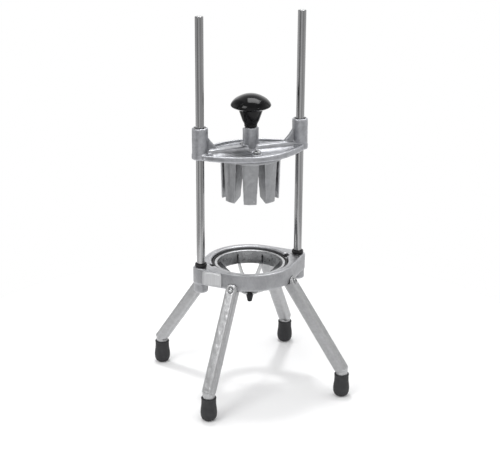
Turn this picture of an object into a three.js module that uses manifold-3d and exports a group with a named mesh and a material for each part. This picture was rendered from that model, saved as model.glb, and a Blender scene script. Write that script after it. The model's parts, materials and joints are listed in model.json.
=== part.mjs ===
// A hand-operated fruit and vegetable wedger: a cast stand on four raked legs carries a dished
// cartridge of radial blades and two upright guide rods, and a cast head slides on the rods and
// pushes the produce through the blades with eight fingers.
//
// Millimetres, +Z up. The origin is on the table under the middle of the blade opening, X runs
// from one guide rod to the other and the front is towards -Y.

import * as THREE from 'three';
import { mergeVertices } from 'three/addons/utils/BufferGeometryUtils.js';
import Module from 'manifold-3d';

const wasm = await Module();
wasm.setup();

// ---------------------------------------------------------------- driving dimensions

const gap = 0.3; // clearance between pieces that touch
const chamfer = 1.0; // broken edges of the castings
const overrun = 1; // how far a cutter runs past the face that it cuts

// Stand
const openingRadius = 45; // the 90 mm opening that the produce goes through
const openingChamfer = 1.2;
const baseWall = 8; // ring wall outside the opening
const baseTopHeight = 152.4; // top of the base casting above the table
const baseDepth = 19.9;
const seatDepth = 11.2; // ledge that the blade cartridge rests on, below the base's top
const rodOutset = 8; // rod axis beyond the ring's outer wall
const earRadius = 9; // rounded ends of the casting round the rods

// Guide rods
const rodDiameter = 9.525;
const rodLength = 313.1;
const rodChamfer = 0.6;
const rodBossRadius = 8.2;
const rodBossDrop = 11; // boss under each ear
const rodSeatHeight = 6.3; // end of the rod above the bottom of its boss
const rodScrewRadius = 2.5;
const rodScrewHeadRadius = 4.6;
const rodScrewHeadHeight = 2.8;
const rodScrewReach = 12; // screw thread inside the rod
const bumperThickness = 1.7; // rubber ring round each rod
const bumperHeight = 3.4;

// Legs and feet
const footSpread = 64.1; // foot axis beyond the ring's outer wall
const legWidth = 14;
const legCornerRadius = 3.5;
const legKinkHeight = 33;
const legTopInset = 11; // end of the leg's centre line inside the ring's outer wall
const legTopDrop = 7.5; // and below the base's top
const legStubRadius = 7.1;
const lugWidth = 8; // cast lug inside the top of each leg
const lugDrop = 16;
const legScrewDistance = 17.1; // along the leg from the end of its centre line
const legScrewRadius = 2;
const legScrewHeadRadius = 3.2;
const legScrewHeadHeight = 2.4;
const legScrewTip = 2.5; // screw end beyond the leg's centre line
const legScrewRecess = 1.6;
const footHeight = 27.8;
const footFloor = 5;
const footWall = 1.2;
const footBulge = 9.5;
const footFlatRadius = 4;
const footCurve = [[0.74, 0.06], [0.95, 0.19], [1, 0.34]]; // shares of the bulge and the height
const footWaist = 0.2; // waist inside the rim
const footWaistShare = 0.66;

// Blade cartridge
const wedgeCount = 8;
const bladeThickness = 1;
const cartridgeWall = 7; // opening wall to the inside of the blade ring
const flangeHeight = 4.6;
const lipHeight = 3.3; // inner lip above the flange
const ringEdge = 0.8; // broken edges of the lip
const skirtWidth = 3.2; // wall of the ring below the seat
const bladeSlotDepth = 1.8;
const bladeTopAtRing = 4.2; // blade edge above the seat
const bladeFootAtRing = 6.7; // blade foot below the seat
const bladeDishReach = 0.5; // where the blade's two curves bend, as a share of its length
const bladeDishRise = 3; // bend of the edge above its lowest point
const hubTopDrop = 19.2; // hub below the seat
const hubHeight = 13;
const hubRadius = 4.7;
const hubCoreRadius = 3.1;
const hubTipRadius = 2.6;
const hubTipDrop = 9.2;
const gasketWidth = 2.4;
const gasketHeight = 3.2;
const cartridgeLugWidth = 8.4;
const cartridgeLugReach = 4.2; // lug beyond the opening's wall
const cartridgeScrewRadius = 1.25;
const cartridgeScrewHeadRadius = 2.3;
const cartridgeScrewHeadHeight = 2.2;
const cartridgeScrewLength = 10;
const cartridgeScrewOutset = 1.2; // screw axis beyond the opening's wall

// Head
const headHeight = 130.1; // underside of the guide bosses above the base's top, as parked
const headBossRadius = 9;
const headBossHeight = 34.6;
const bushingWall = 1.7;
const bushingRecess = 0.5;
const plateMargin = 2.6; // plate beyond the pusher disc, at the middle
const plateDrop = 1.7; // plate below the guide bosses
const plateFloor = 3.3;
const plateRimHeight = 7;
const plateRimWidth = 3.6;
const spineHeight = 10.2; // top of the spine above the plate's underside
const spineHalfWidth = 5;
const spineFootHalfWidth = 13;
const spineSweep = 1; // bend of the spine's hollow sides, off its wall and its floor
const leafEndAngle = THREE.MathUtils.degToRad(80); // where the plate's long edges leave its ends
const leafEndMargin = 0.5; // plate beyond each boss
const gussetThickness = 4;
const gussetReach = 14;
const gussetHeight = 23; // top of the gusset above the bosses' underside
const gussetSweep = 5; // bend of its sloping edge above its foot
const postRadius = 6.6;
const postHeight = 29.5; // above the bosses' underside
const postRibHalfWidth = 9.1;
const postRibThickness = 4.5;
const postFlare = 4; // foot of each rib beyond its side
const postFlareHeight = 6.4;
const pusherScrewOffset = 20; // from the middle, to the front and to the back
const pusherPadRadius = 6.2;
const pusherPadHeight = 2;
const pusherScrewRadius = 2.5;
const pusherScrewHeadRadius = 4.4;
const pusherScrewHeadHeight = 3;

// Pusher block
const pusherDiscMargin = 0.6; // disc rim inside the blade ring
const pusherDiscHeight = 3;
const fingerLength = 48;
const fingerTopInset = 3; // finger inside the disc's rim, at the top and at the foot
const fingerFootInset = 4.4;
const fingerTopClearance = 3.4; // finger side to the middle of the blade, top and foot
const fingerFootClearance = 5.5;
const fingerFootSlope = THREE.MathUtils.degToRad(12);
const fingerNose = 0.12; // flat at the thin side, as a share of the wedge's own radius there

// Knob
const knobHeight = 38.4;
const knobRadius = 23;
const knobNeckRadius = 7.4;
const knobFlareRadius = 14.2;
const knobCapHeight = 17.6;
const knobNeckHeight = 3.4; // straight part of the neck
const knobFlareStart = [2.2, 4]; // first step of the flare, outwards and up
// The knob's cap, as shares of the knob's radius and of the cap's height.
const knobCap = [
  [0.87, 0.11], [0.97, 0.17], [1, 0.24], [0.97, 0.36], [0.86, 0.56], [0.65, 0.76], [0.36, 0.93],
];
const studRadius = 4;
const studDepth = 15; // thread inside the post and inside the knob
const studReach = 19.5;
const studChamfer = 0.6;

// Name plate, left blank
const namePlateWidth = 24;
const namePlateHeight = 17;
const namePlateThickness = 0.8;
const namePlateCorner = 2.5;
const namePlateShift = 2.5; // from the middle of the cheek towards the rod

// ---------------------------------------------------------------- worked out from them

const rodRadius = rodDiameter / 2;
const ringRadius = openingRadius + baseWall;
const rodX = ringRadius + rodOutset;
const baseTop = baseTopHeight;
const baseBottom = baseTop - baseDepth;
const seatHeight = baseTop - seatDepth;
const bossBottom = baseBottom - rodBossDrop;
const rodBottom = bossBottom + rodSeatHeight;
const cheekTurn = Math.acos((ringRadius - earRadius) / rodX);

const footRadius = ringRadius + footSpread;
const legKink = new THREE.Vector2(footRadius, legKinkHeight);
const legTop = new THREE.Vector2(ringRadius - legTopInset, baseTop - legTopDrop);
const legRun = legTop.clone().sub(legKink).normalize();
const legOutward = new THREE.Vector2(legRun.y, -legRun.x);
const legScrewCentre = legTop.clone().addScaledVector(legRun, -legScrewDistance);

const bladeRingInner = openingRadius - cartridgeWall;
const bladeRingOuter = openingRadius - gap;
const skirtOuter = bladeRingInner + skirtWidth;
const ledgeRadius = skirtOuter + gap;
const flangeBottom = seatHeight + gap;
const flangeTop = flangeBottom + flangeHeight;
const lipOuter = bladeRingOuter - gasketWidth - gap;
const skirtBottom = baseBottom + gap;
const hubTop = seatHeight - hubTopDrop;
const bladeFootAtHub = hubTop - hubHeight + chamfer + gap;
const wedgeAngle = (2 * Math.PI) / wedgeCount;
const cartridgeScrewX = openingRadius + cartridgeScrewOutset;

const headBottom = baseTop + headHeight;
const headBossTop = headBottom + headBossHeight;
const plateBottom = headBottom - plateDrop;
const spineTop = plateBottom + spineHeight;
const floorTop = plateBottom + plateFloor;
const rimTop = plateBottom + plateRimHeight;
const postTop = headBottom + postHeight;
const padTop = floorTop + pusherPadHeight;
const discTop = plateBottom - gap;
const discBottom = discTop - pusherDiscHeight;
const discRadius = bladeRingInner - pusherDiscMargin;
const plateHalfWidth = discRadius + plateMargin;
const knobBottom = postTop + gap;

const sides = [['left', -1], ['right', 1]];
const corners = [['front_left', 225], ['front_right', 315], ['rear_right', 45], ['rear_left', 135]];

// ---------------------------------------------------------------- shapes

const radians = THREE.MathUtils.degToRad;
const fineSegments = 48; // rings and discs
const knobSegments = 32;
const spineDetail = 5;
const ribDetail = 4;
const fingerDetail = 5;
const roundSegments = 20; // rods, bosses and feet
const screwSegments = 10;
const planDetail = 11; // divisions of each arc of the base's plan

const weldDistance = 1e-4;

// A solid that manifold-3d can join and cut.
function solid(geometry) {
  geometry.deleteAttribute('normal');
  geometry.deleteAttribute('uv');
  const merged = mergeVertices(geometry, weldDistance);
  const corner = merged.index.array;
  const triangles = [];
  for (let i = 0; i < corner.length; i += 3) {
    const [a, b, c] = [corner[i], corner[i + 1], corner[i + 2]];
    if (a !== b && b !== c && c !== a) {
      triangles.push(a, b, c);
    }
  }
  const vertProperties = new Float32Array(merged.attributes.position.array);
  const triVerts = new Uint32Array(triangles);
  return new wasm.Manifold(new wasm.Mesh({ numProp: 3, vertProperties, triVerts }));
}

function geometryOf(manifold) {
  const mesh = manifold.getMesh();
  const geometry = new THREE.BufferGeometry();
  geometry.setAttribute('position', new THREE.BufferAttribute(mesh.vertProperties, mesh.numProp));
  geometry.setIndex(new THREE.BufferAttribute(mesh.triVerts, 1));
  geometry.computeVertexNormals();
  return geometry;
}

function join(first, ...others) {
  return others.reduce((sum, other) => sum.add(solid(other)), solid(first));
}

function cut(body, ...cutters) {
  return cutters.reduce((rest, cutter) => rest.subtract(solid(cutter)), body);
}

// A turned piece about the Z axis, from [radius, height] points that run up its outside.
function turned(profile, segments = roundSegments) {
  const points = profile.map(([radius, height]) => new THREE.Vector2(radius, height));
  const geometry = new THREE.LatheGeometry(points, segments);
  geometry.rotateX(Math.PI / 2);
  return geometry;
}

function cylinder(radius, low, high, segments = roundSegments) {
  return turned([[0, low], [radius, low], [radius, high], [0, high]], segments);
}

function chamferedCylinder(radius, low, high, edge, segments = roundSegments) {
  const inner = radius - edge;
  const profile = [[0, low], [inner, low], [radius, low + edge], [radius, high - edge]];
  return turned([...profile, [inner, high], [0, high]], segments);
}

function tube(inner, outer, low, high, segments = roundSegments) {
  return turned([[inner, low], [outer, low], [outer, high], [inner, high], [inner, low]], segments);
}

function box(lowX, highX, lowY, highY, lowZ, highZ) {
  const geometry = new THREE.BoxGeometry(highX - lowX, highY - lowY, highZ - lowZ);
  geometry.translate((lowX + highX) / 2, (lowY + highY) / 2, (lowZ + highZ) / 2);
  return geometry;
}

function at(geometry, x, y, z = 0) {
  return geometry.clone().translate(x, y, z);
}

function turnedTo(geometry, angle) {
  return geometry.clone().rotateZ(angle);
}

// A plate of the given outline in the XY plane, with broken edges.
function slab(shape, low, high, edge = 0, curveSegments = 12) {
  const geometry = new THREE.ExtrudeGeometry(shape, {
    depth: high - low - 2 * edge,
    bevelEnabled: edge > 0,
    bevelThickness: edge,
    bevelSize: edge,
    bevelOffset: -edge,
    bevelSegments: 1,
    curveSegments,
  });
  geometry.translate(0, 0, low + edge);
  return geometry;
}

// A plate that stands in the XZ plane, centred on y = 0.
function upright(shape, thickness, curveSegments = 8) {
  const geometry = new THREE.ExtrudeGeometry(shape, {
    depth: thickness,
    bevelEnabled: false,
    curveSegments,
  });
  geometry.rotateX(Math.PI / 2);
  geometry.translate(0, thickness / 2, 0);
  return geometry;
}

function roundedRectangle(width, height, radius) {
  const shape = new THREE.Shape();
  const x = width / 2 - radius;
  const y = height / 2 - radius;
  shape.absarc(x, y, radius, 0, Math.PI / 2);
  shape.absarc(-x, y, radius, Math.PI / 2, Math.PI);
  shape.absarc(-x, -y, radius, Math.PI, 1.5 * Math.PI);
  shape.absarc(x, -y, radius, 1.5 * Math.PI, 2 * Math.PI);
  return shape;
}

// A skin between two rings of points with the same count, closed by a fan over each ring.
function loft(lowRing, highRing) {
  const count = lowRing.length;
  const points = [...lowRing, ...highRing];
  const index = [];
  for (let i = 0; i < count; i += 1) {
    const next = (i + 1) % count;
    index.push(i, next, count + next, i, count + next, count + i);
  }
  for (let i = 1; i < count - 1; i += 1) {
    index.push(0, i + 1, i);
    index.push(count, count + i, count + i + 1);
  }
  const geometry = new THREE.BufferGeometry();
  geometry.setAttribute('position', new THREE.Float32BufferAttribute(points.flat(), 3));
  geometry.setIndex(index);
  return geometry;
}

// A straight bar in the XZ plane. Its section's points are [outward, sideways] from the line
// through `start` along `run`, and a plane closes it at each end.
function bar(section, start, run, lowPlane, highPlane) {
  const outward = new THREE.Vector2(run.y, -run.x);
  const ringOn = (plane) => section.map(([out, side]) => {
    const point = start.clone().addScaledVector(outward, out);
    const travel = plane.point.clone().sub(point).dot(plane.normal) / run.dot(plane.normal);
    point.addScaledVector(run, travel);
    return [point.x, side, point.y];
  });
  return loft(ringOn(lowPlane), ringOn(highPlane));
}

function sectionOf(shape, divisions) {
  return shape.extractPoints(divisions).shape.slice(0, -1).map((point) => [point.x, point.y]);
}

function ringSection(radius, segments) {
  const turn = (2 * Math.PI) / segments;
  const angles = Array.from({ length: segments }, (_, i) => i * turn);
  return angles.map((angle) => [radius * Math.cos(angle), radius * Math.sin(angle)]);
}

// Proportions of a round-headed socket screw, as shares of its own radii and head height.
const screwShares = { point: 0.3, socket: 0.45, floor: 0.45, shoulder: 0.55, crown: 0.75 };

// A round-headed socket screw along Z with its head's seat at `seat`, thread downwards.
function socketScrew(seat, shankRadius, headRadius, headHeight, length, segments = screwSegments) {
  const tip = seat - length;
  const point = shankRadius * screwShares.point;
  const socketRadius = headRadius * screwShares.socket;
  const socketFloor = seat + headHeight * screwShares.floor;
  const shoulder = seat + headHeight * screwShares.shoulder;
  const crown = seat + headHeight;
  return turned([
    [0, tip],
    [shankRadius - point, tip],
    [shankRadius, tip + point],
    [shankRadius, seat],
    [headRadius, seat],
    [headRadius, shoulder],
    [headRadius * screwShares.crown, crown],
    [socketRadius, crown],
    [socketRadius, socketFloor],
    [0, socketFloor],
  ], segments);
}

// ---------------------------------------------------------------- stand

// Plan of the base casting: a ring whose sides run straight to the rounded ears.
function basePlan(grow = 0) {
  const shape = new THREE.Shape();
  shape.absarc(rodX, 0, earRadius + grow, -cheekTurn, cheekTurn);
  shape.absarc(0, 0, ringRadius + grow, cheekTurn, Math.PI - cheekTurn);
  shape.absarc(-rodX, 0, earRadius + grow, Math.PI - cheekTurn, Math.PI + cheekTurn);
  shape.absarc(0, 0, ringRadius + grow, Math.PI + cheekTurn, 2 * Math.PI - cheekTurn);
  return shape;
}

const upwards = new THREE.Vector2(0, 1);

function horizontal(height) {
  return { point: new THREE.Vector2(0, height), normal: upwards };
}

function legLug(grow) {
  const half = lugWidth / 2 + grow;
  const section = [[half, half], [-half, half], [-half, -half], [half, -half]];
  const low = horizontal(baseBottom - lugDrop - grow);
  return bar(section, legTop, legRun, low, { point: legTop, normal: legRun });
}

// Sets a piece made along Z on the leg towards +X, square to the leg's outer face.
function placedOnLeg(geometry) {
  const tilt = Math.atan2(legOutward.x, legOutward.y);
  const copy = geometry.clone().rotateY(tilt);
  return copy.translate(legScrewCentre.x, 0, legScrewCentre.y);
}

// A hole for the leg's screw, between two distances from the leg's centre line.
function legScrewBore(radius, from, to) {
  return placedOnLeg(cylinder(radius, from, to, screwSegments));
}

function baseCasting() {
  const rodHole = rodRadius + gap;
  const headHole = rodScrewHeadRadius + gap;
  const cartridgeHole = cartridgeScrewRadius + gap;
  const headFloor = bossBottom + rodScrewHeadHeight + gap;
  const boss = chamferedCylinder(rodBossRadius, bossBottom, baseBottom + 2 * chamfer, chamfer);
  let body = join(
    slab(basePlan(), baseBottom, baseTop, chamfer, planDetail),
    at(boss, rodX, 0),
    at(boss, -rodX, 0),
    ...corners.map(([, angle]) => turnedTo(legLug(0), radians(angle))),
  );
  const openingBottom = baseBottom - lugDrop - overrun;
  const opening = turned([
    [0, openingBottom],
    [ledgeRadius, openingBottom],
    [ledgeRadius, seatHeight],
    [openingRadius, seatHeight],
    [openingRadius, baseTop - openingChamfer],
    [openingRadius + openingChamfer, baseTop],
    [openingRadius + openingChamfer, baseTop + overrun],
    [0, baseTop + overrun],
  ], fineSegments);
  body = cut(body, opening);
  const pocketEnd = openingRadius + cartridgeLugReach + gap;
  const pocketHalf = cartridgeLugWidth / 2 + gap;
  for (const [, side] of sides) {
    const x = side * rodX;
    const ends = [side * ledgeRadius, side * pocketEnd].sort((a, b) => a - b);
    const tapped = cylinder(cartridgeHole, baseBottom - overrun, seatHeight + overrun, screwSegments);
    body = cut(
      body,
      at(cylinder(rodHole, rodBottom - gap, baseTop + overrun), x, 0),
      at(cylinder(rodScrewRadius + gap, bossBottom, rodBottom, screwSegments), x, 0),
      at(cylinder(headHole, bossBottom - overrun, headFloor, screwSegments), x, 0),
      box(...ends, -pocketHalf, pocketHalf, seatHeight, baseTop + overrun),
      at(tapped, side * cartridgeScrewX, 0),
    );
  }
  const bore = legScrewBore(legScrewRadius + gap, -legScrewTip - gap, legWidth);
  return geometryOf(cut(body, ...corners.map(([, angle]) => turnedTo(bore, radians(angle)))));
}

// One leg in the plane towards +X: a round stub in the foot, a kink and a raked square bar whose
// end is notched to fit round the base casting's lower edge, over the casting's lug.
function leg() {
  const square = sectionOf(roundedRectangle(legWidth, legWidth, legCornerRadius), 2);
  const mitre = legRun.clone().add(upwards).normalize();
  const stubEnd = legKink.clone().addScaledVector(mitre, overrun);
  const bottom = horizontal(footFloor + gap);
  const atKink = { point: legKink, normal: mitre };
  const atTop = { point: legTop, normal: legRun };
  const raked = bar(square, legTop, legRun, atKink, atTop);
  const round = ringSection(legStubRadius, roundSegments - 4);
  const stub = bar(round, legKink, upwards, bottom, { point: stubEnd, normal: mitre });
  const seat = legWidth / 2 - legScrewRecess;
  return cut(
    join(raked, stub),
    legLug(gap),
    legScrewBore(legScrewRadius + gap, 0, legWidth),
    legScrewBore(legScrewHeadRadius + gap, seat, legWidth),
  );
}

function legs() {
  const whole = leg();
  const clearance = slab(basePlan(gap), baseBottom - gap, baseTop + gap, 0, planDetail);
  return corners.map(([name, angle]) => {
    const notched = cut(whole, turnedTo(clearance, -radians(angle)));
    return [`leg_${name}`, turnedTo(geometryOf(notched), radians(angle))];
  });
}

function legScrews() {
  const seat = legWidth / 2 - legScrewRecess + gap;
  const screw = socketScrew(
    seat,
    legScrewRadius,
    legScrewHeadRadius,
    legScrewHeadHeight,
    seat + legScrewTip,
  );
  const placed = placedOnLeg(screw);
  return corners.map(([name, angle]) => [`leg_screw_${name}`, turnedTo(placed, radians(angle))]);
}

// A rubber boot with a domed sole and a slight waist.
function feet() {
  const bore = legStubRadius + gap;
  const rim = bore + footWall;
  const boot = turned([
    [0, 0],
    [footFlatRadius, 0],
    ...footCurve.map(([across, up]) => [footBulge * across, footHeight * up]),
    [rim - footWaist, footHeight * footWaistShare],
    [rim, footHeight],
    [bore, footHeight],
    [bore, footFloor],
    [0, footFloor],
  ]);
  return corners.map(([name, angle]) => {
    const x = footRadius * Math.cos(radians(angle));
    const y = footRadius * Math.sin(radians(angle));
    return [`foot_${name}`, at(boot, x, y)];
  });
}

function guideRod() {
  const hole = rodScrewRadius + gap;
  const holeTop = rodBottom + rodScrewReach + gap;
  const top = rodBottom + rodLength;
  return turned([
    [0, holeTop],
    [hole, holeTop],
    [hole, rodBottom],
    [rodRadius - rodChamfer, rodBottom],
    [rodRadius, rodBottom + rodChamfer],
    [rodRadius, top - rodChamfer],
    [rodRadius - rodChamfer, top],
    [0, top],
  ]);
}

// A screw from below, its head sunk in the boss.
function rodScrew() {
  const seat = bossBottom + rodScrewHeadHeight;
  const length = rodBottom + rodScrewReach - seat;
  const screw = socketScrew(0, rodScrewRadius, rodScrewHeadRadius, rodScrewHeadHeight, length);
  screw.rotateX(Math.PI);
  return screw.translate(0, 0, seat);
}

const ringRounding = 0.29; // corner of a moulded ring, as a share of its thinner side

function roundedRing(inner, outer, low, high, segments) {
  const edge = Math.min(outer - inner, high - low) * ringRounding;
  return turned([
    [inner + edge, low],
    [outer - edge, low],
    [outer, low + edge],
    [outer, high - edge],
    [outer - edge, high],
    [inner + edge, high],
    [inner, high - edge],
    [inner, low + edge],
    [inner + edge, low],
  ], segments);
}

function rodBumper() {
  const inner = rodRadius + gap;
  const low = baseTop + gap;
  return roundedRing(inner, inner + bumperThickness, low, low + bumperHeight, roundSegments);
}

// ---------------------------------------------------------------- blade cartridge

function bladeSlot(innerRadius, outerRadius, low, high) {
  const half = bladeThickness / 2 + gap;
  return box(innerRadius, outerRadius, -half, half, low, high);
}

function eachWedge(make) {
  return Array.from({ length: wedgeCount }, (_, i) => make(i * wedgeAngle, i));
}

function bladeRing() {
  const lipTop = flangeTop + lipHeight;
  const ring = turned([
    [bladeRingInner, skirtBottom],
    [skirtOuter, skirtBottom],
    [skirtOuter, flangeBottom],
    [bladeRingOuter, flangeBottom],
    [bladeRingOuter, flangeTop],
    [lipOuter, flangeTop],
    [lipOuter, lipTop - ringEdge],
    [lipOuter - ringEdge, lipTop],
    [bladeRingInner + ringEdge, lipTop],
    [bladeRingInner, lipTop - ringEdge],
    [bladeRingInner, skirtBottom],
  ], fineSegments);
  const half = cartridgeLugWidth / 2;
  const reach = openingRadius + cartridgeLugReach;
  const middle = (lipOuter + bladeRingOuter) / 2;
  const body = join(
    ring,
    box(middle, reach, -half, half, flangeBottom, flangeTop),
    box(-reach, -middle, -half, half, flangeBottom, flangeTop),
  );
  const low = flangeBottom - overrun;
  const hole = cylinder(cartridgeScrewRadius + gap, low, flangeTop + overrun, screwSegments);
  const slotEnd = bladeRingInner + bladeSlotDepth;
  const slotTop = seatHeight + bladeTopAtRing + gap;
  const slot = bladeSlot(bladeRingInner - overrun, slotEnd, skirtBottom - overrun, slotTop);
  return geometryOf(cut(
    body,
    at(hole, cartridgeScrewX, 0),
    at(hole, -cartridgeScrewX, 0),
    ...eachWedge((angle) => turnedTo(slot, angle)),
  ));
}

// Half a blade: its edge dips from the ring to the hub and its foot curves down like a funnel.
function blade() {
  const inner = hubCoreRadius + gap;
  const outer = bladeRingInner + bladeSlotDepth - gap;
  const edgeAtRing = seatHeight + bladeTopAtRing;
  const edgeAtHub = hubTop + chamfer;
  const footAtRing = seatHeight - bladeFootAtRing;
  const shape = new THREE.Shape();
  shape.moveTo(inner, bladeFootAtHub);
  shape.quadraticCurveTo(outer * bladeDishReach, bladeFootAtHub + chamfer, outer, footAtRing);
  shape.lineTo(outer, edgeAtRing);
  shape.quadraticCurveTo(outer * bladeDishReach, edgeAtHub + bladeDishRise, inner, edgeAtHub);
  return upright(shape, bladeThickness);
}

function bladeHub() {
  const shoulder = hubTop - hubHeight;
  const body = solid(turned([
    [0, shoulder - hubTipDrop],
    [hubTipRadius, shoulder - hubTipDrop],
    [hubRadius, shoulder],
    [hubRadius, hubTop - chamfer],
    [hubRadius - chamfer, hubTop],
    [0, hubTop],
  ]));
  const slot = bladeSlot(hubCoreRadius, hubRadius + overrun, bladeFootAtHub - gap, hubTop + overrun);
  return geometryOf(cut(body, ...eachWedge((angle) => turnedTo(slot, angle))));
}

// A rubber ring on the cartridge's flange, notched past the two lug screws.
function bladeGasket() {
  const low = flangeTop + gap;
  const inner = bladeRingOuter - gasketWidth;
  const ring = solid(roundedRing(inner, bladeRingOuter, low, low + gasketHeight, fineSegments));
  const notchStart = cartridgeScrewX - cartridgeScrewHeadRadius - gap;
  const half = cartridgeLugWidth / 2 + gap;
  const high = low + gasketHeight + overrun;
  const notch = box(notchStart, openingRadius, -half, half, low - overrun, high);
  return geometryOf(cut(ring, notch, turnedTo(notch, Math.PI)));
}

function cartridgeScrew() {
  return socketScrew(
    flangeTop + gap,
    cartridgeScrewRadius,
    cartridgeScrewHeadRadius,
    cartridgeScrewHeadHeight,
    cartridgeScrewLength,
  );
}

// ---------------------------------------------------------------- head

// Plan of the head's plate: a leaf that runs out to a round end at each boss.
function leafPlan(halfWidth, endRadius) {
  const x = rodX + endRadius * Math.cos(leafEndAngle);
  const y = endRadius * Math.sin(leafEndAngle);
  const shape = new THREE.Shape();
  shape.absarc(rodX, 0, endRadius, -leafEndAngle, leafEndAngle);
  shape.quadraticCurveTo(0, 2 * halfWidth - y, -x, y);
  shape.absarc(-rodX, 0, endRadius, Math.PI - leafEndAngle, Math.PI + leafEndAngle);
  shape.quadraticCurveTo(0, y - 2 * halfWidth, x, -y);
  return shape;
}

// The hollow inside the plate's rim, cut off square in front of the bosses.
function leafPocket() {
  const halfWidth = plateHalfWidth - plateRimWidth;
  const x = rodX - headBossRadius - plateRimWidth / 2;
  const y = halfWidth - (halfWidth - headBossRadius) * (x / rodX) ** 2 - plateRimWidth / 2;
  const shape = new THREE.Shape();
  shape.moveTo(x, -y);
  shape.lineTo(x, y);
  shape.quadraticCurveTo(0, 2 * halfWidth - y, -x, y);
  shape.lineTo(-x, -y);
  shape.quadraticCurveTo(0, y - 2 * halfWidth, x, -y);
  return shape;
}

// The rib from boss to boss, with hollow sides.
function spine() {
  const foot = floorTop - plateFloor / 2;
  const shoulder = spineTop - chamfer;
  const bend = spineHalfWidth + spineSweep;
  const shape = new THREE.Shape();
  shape.moveTo(-spineFootHalfWidth, foot);
  shape.lineTo(spineFootHalfWidth, foot);
  shape.lineTo(spineFootHalfWidth, floorTop);
  shape.quadraticCurveTo(bend, floorTop + spineSweep, spineHalfWidth, shoulder);
  shape.lineTo(spineHalfWidth - chamfer, spineTop);
  shape.lineTo(chamfer - spineHalfWidth, spineTop);
  shape.lineTo(-spineHalfWidth, shoulder);
  shape.quadraticCurveTo(-bend, floorTop + spineSweep, -spineFootHalfWidth, floorTop);
  return upright(shape, 2 * rodX, spineDetail).rotateZ(Math.PI / 2);
}

function gusset() {
  const inner = rodX - headBossRadius - gussetReach;
  const foot = spineTop - chamfer;
  const shape = new THREE.Shape();
  shape.moveTo(inner, foot - overrun);
  shape.lineTo(rodX, foot - overrun);
  shape.lineTo(rodX, headBottom + gussetHeight);
  shape.lineTo(rodX - headBossRadius, headBottom + gussetHeight);
  shape.quadraticCurveTo(inner + gussetReach / 2, foot + gussetSweep, inner, foot);
  return upright(shape, gussetThickness, ribDetail);
}

function postRibs() {
  const foot = spineTop - chamfer;
  const wide = postRibHalfWidth + postFlare;
  const flareTop = foot + postFlareHeight;
  const shape = new THREE.Shape();
  shape.moveTo(-wide, foot - overrun);
  shape.lineTo(wide, foot - overrun);
  shape.lineTo(wide, foot);
  shape.quadraticCurveTo(postRibHalfWidth, foot + spineSweep, postRibHalfWidth, flareTop);
  shape.lineTo(postRibHalfWidth, postTop);
  shape.lineTo(-postRibHalfWidth, postTop);
  shape.lineTo(-postRibHalfWidth, flareTop);
  shape.quadraticCurveTo(-postRibHalfWidth, foot + spineSweep, -wide, foot);
  return upright(shape, postRibThickness, ribDetail);
}

function headCasting() {
  const boss = chamferedCylinder(headBossRadius, headBottom, headBossTop, chamfer);
  const plan = leafPlan(plateHalfWidth, headBossRadius + leafEndMargin);
  const plate = cut(
    solid(slab(plan, plateBottom, rimTop, chamfer)),
    slab(leafPocket(), floorTop, rimTop + overrun),
  );
  const brace = gusset();
  const pad = cylinder(pusherPadRadius, floorTop - overrun, padTop);
  const ribs = join(
    spine(),
    brace,
    turnedTo(brace, Math.PI),
    postRibs(),
    cylinder(postRadius, floorTop, postTop),
    at(boss, rodX, 0),
    at(boss, -rodX, 0),
    at(pad, 0, pusherScrewOffset),
    at(pad, 0, -pusherScrewOffset),
  );
  const guideRadius = rodRadius + gap + bushingWall + gap;
  const guideHole = cylinder(guideRadius, plateBottom - overrun, headBossTop + overrun);
  const studBottom = postTop - studDepth - gap;
  const studHole = cylinder(studRadius + gap, studBottom, postTop + overrun, screwSegments);
  const screwRadius = pusherScrewRadius + gap;
  const screwHole = cylinder(screwRadius, plateBottom - overrun, padTop + overrun, screwSegments);
  return geometryOf(cut(
    plate.add(ribs),
    at(guideHole, rodX, 0),
    at(guideHole, -rodX, 0),
    studHole,
    at(screwHole, 0, pusherScrewOffset),
    at(screwHole, 0, -pusherScrewOffset),
  ));
}

function guideBushing() {
  const inner = rodRadius + gap;
  return tube(inner, inner + bushingWall, plateBottom + bushingRecess, headBossTop - bushingRecess);
}

// One finger towards +X: a wedge that fills the space between two blades, less its clearance,
// and narrows towards a foot that slopes up to the middle.
function finger() {
  const half = wedgeAngle / 2;
  const ringAt = (radius, clearance, heightAt) => {
    const apex = clearance / Math.sin(half);
    const edge = half - Math.asin(clearance / radius);
    const flat = apex * fingerNose;
    const nose = apex + flat;
    const points = [[nose, -flat * Math.tan(half)]];
    for (let i = 0; i <= fingerDetail; i += 1) {
      const angle = -edge + (2 * edge * i) / fingerDetail;
      points.push([radius * Math.cos(angle), radius * Math.sin(angle)]);
    }
    points.push([nose, flat * Math.tan(half)]);
    return points.map(([x, y]) => [x, y, heightAt(x)]);
  };
  const footRadiusOuter = discRadius - fingerFootInset;
  const slope = Math.tan(fingerFootSlope);
  const foot = ringAt(footRadiusOuter, fingerFootClearance, (x) => (
    discBottom - fingerLength + (footRadiusOuter - x) * slope
  ));
  const top = ringAt(discRadius - fingerTopInset, fingerTopClearance, () => discBottom + overrun);
  return loft(foot, top);
}

function pusherBlock() {
  const wedge = finger();
  const body = join(
    chamferedCylinder(discRadius, discBottom, discTop, chamfer / 2, fineSegments),
    ...eachWedge((angle) => turnedTo(wedge, angle + wedgeAngle / 2)),
  );
  const tappedRadius = pusherScrewRadius + gap;
  const tapped = cylinder(tappedRadius, discBottom - overrun, discTop + overrun, screwSegments);
  return geometryOf(cut(body, at(tapped, 0, pusherScrewOffset), at(tapped, 0, -pusherScrewOffset)));
}

function pusherScrew() {
  const seat = padTop + gap;
  const length = seat - discBottom;
  return socketScrew(seat, pusherScrewRadius, pusherScrewHeadRadius, pusherScrewHeadHeight, length);
}

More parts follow.
